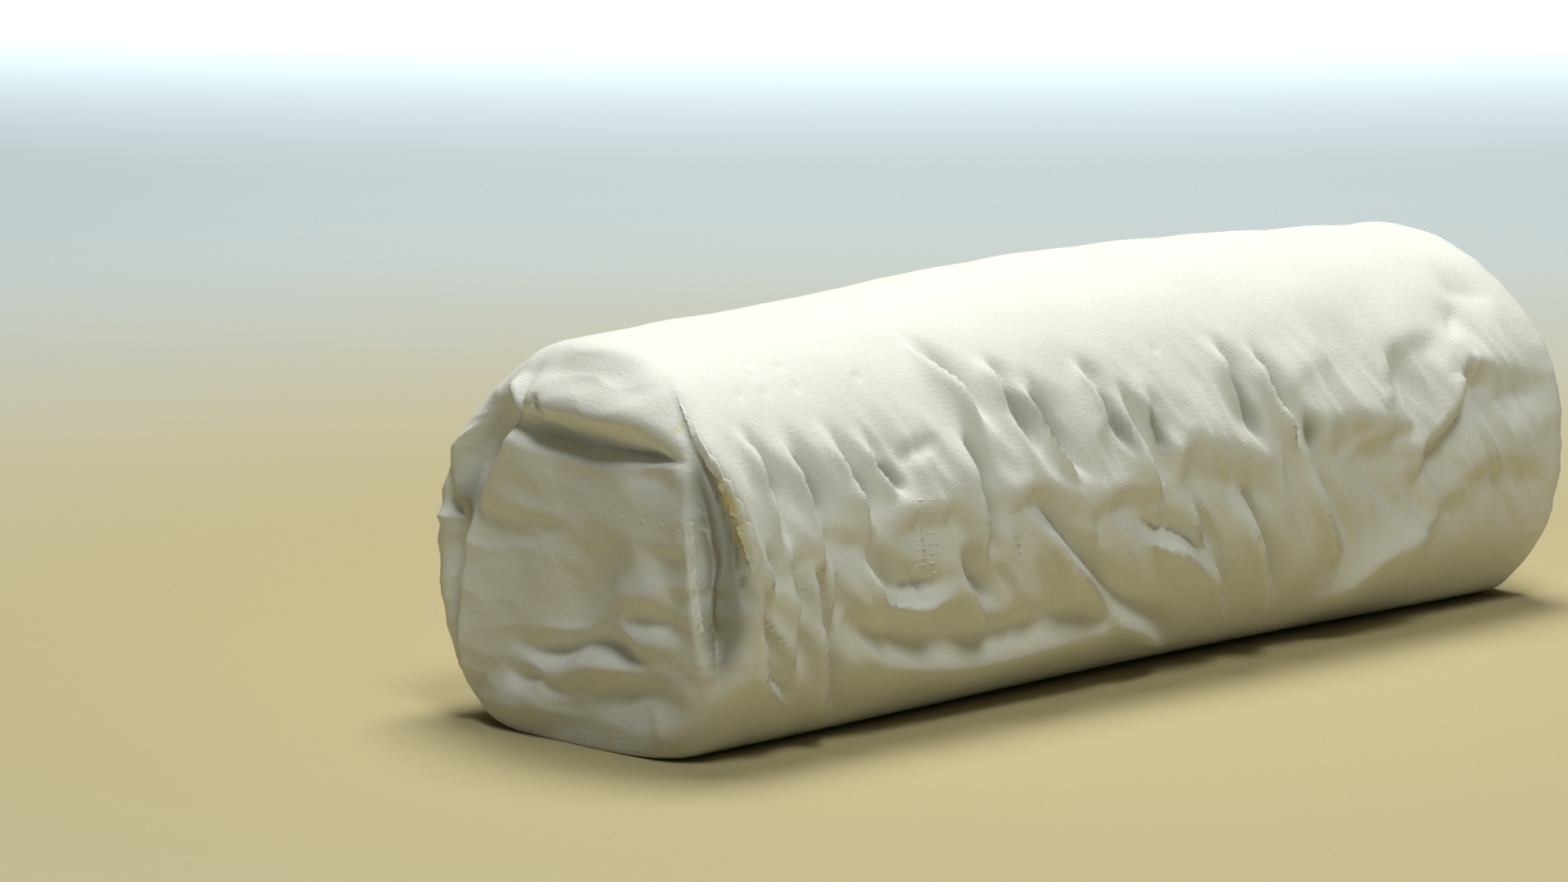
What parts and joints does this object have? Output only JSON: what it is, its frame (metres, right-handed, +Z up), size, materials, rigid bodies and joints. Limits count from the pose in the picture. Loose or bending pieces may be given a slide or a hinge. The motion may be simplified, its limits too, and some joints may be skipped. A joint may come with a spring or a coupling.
{
  "type": "goat cheese log",
  "caption": "Log of soft goat cheese with a white bloomy rind, creased by its wrapper, with folded-flap prints on its ends and a flat foot.",
  "frame": {"origin": "on the ground below the middle of the log, at the bottom centre of its box", "axes": "+X along the log, away from the end shown in the picture; +Z up; the side shown in the picture faces -Y"},
  "size_m": [0.1594, 0.0546, 0.0506],
  "materials": {
    "rind": "matte white bloomy rind, faintly velvety, yellowed at torn edges"
  },
  "bodies": {
    "root": {"cheese_log": "rind"}
  },
  "joints": []
}
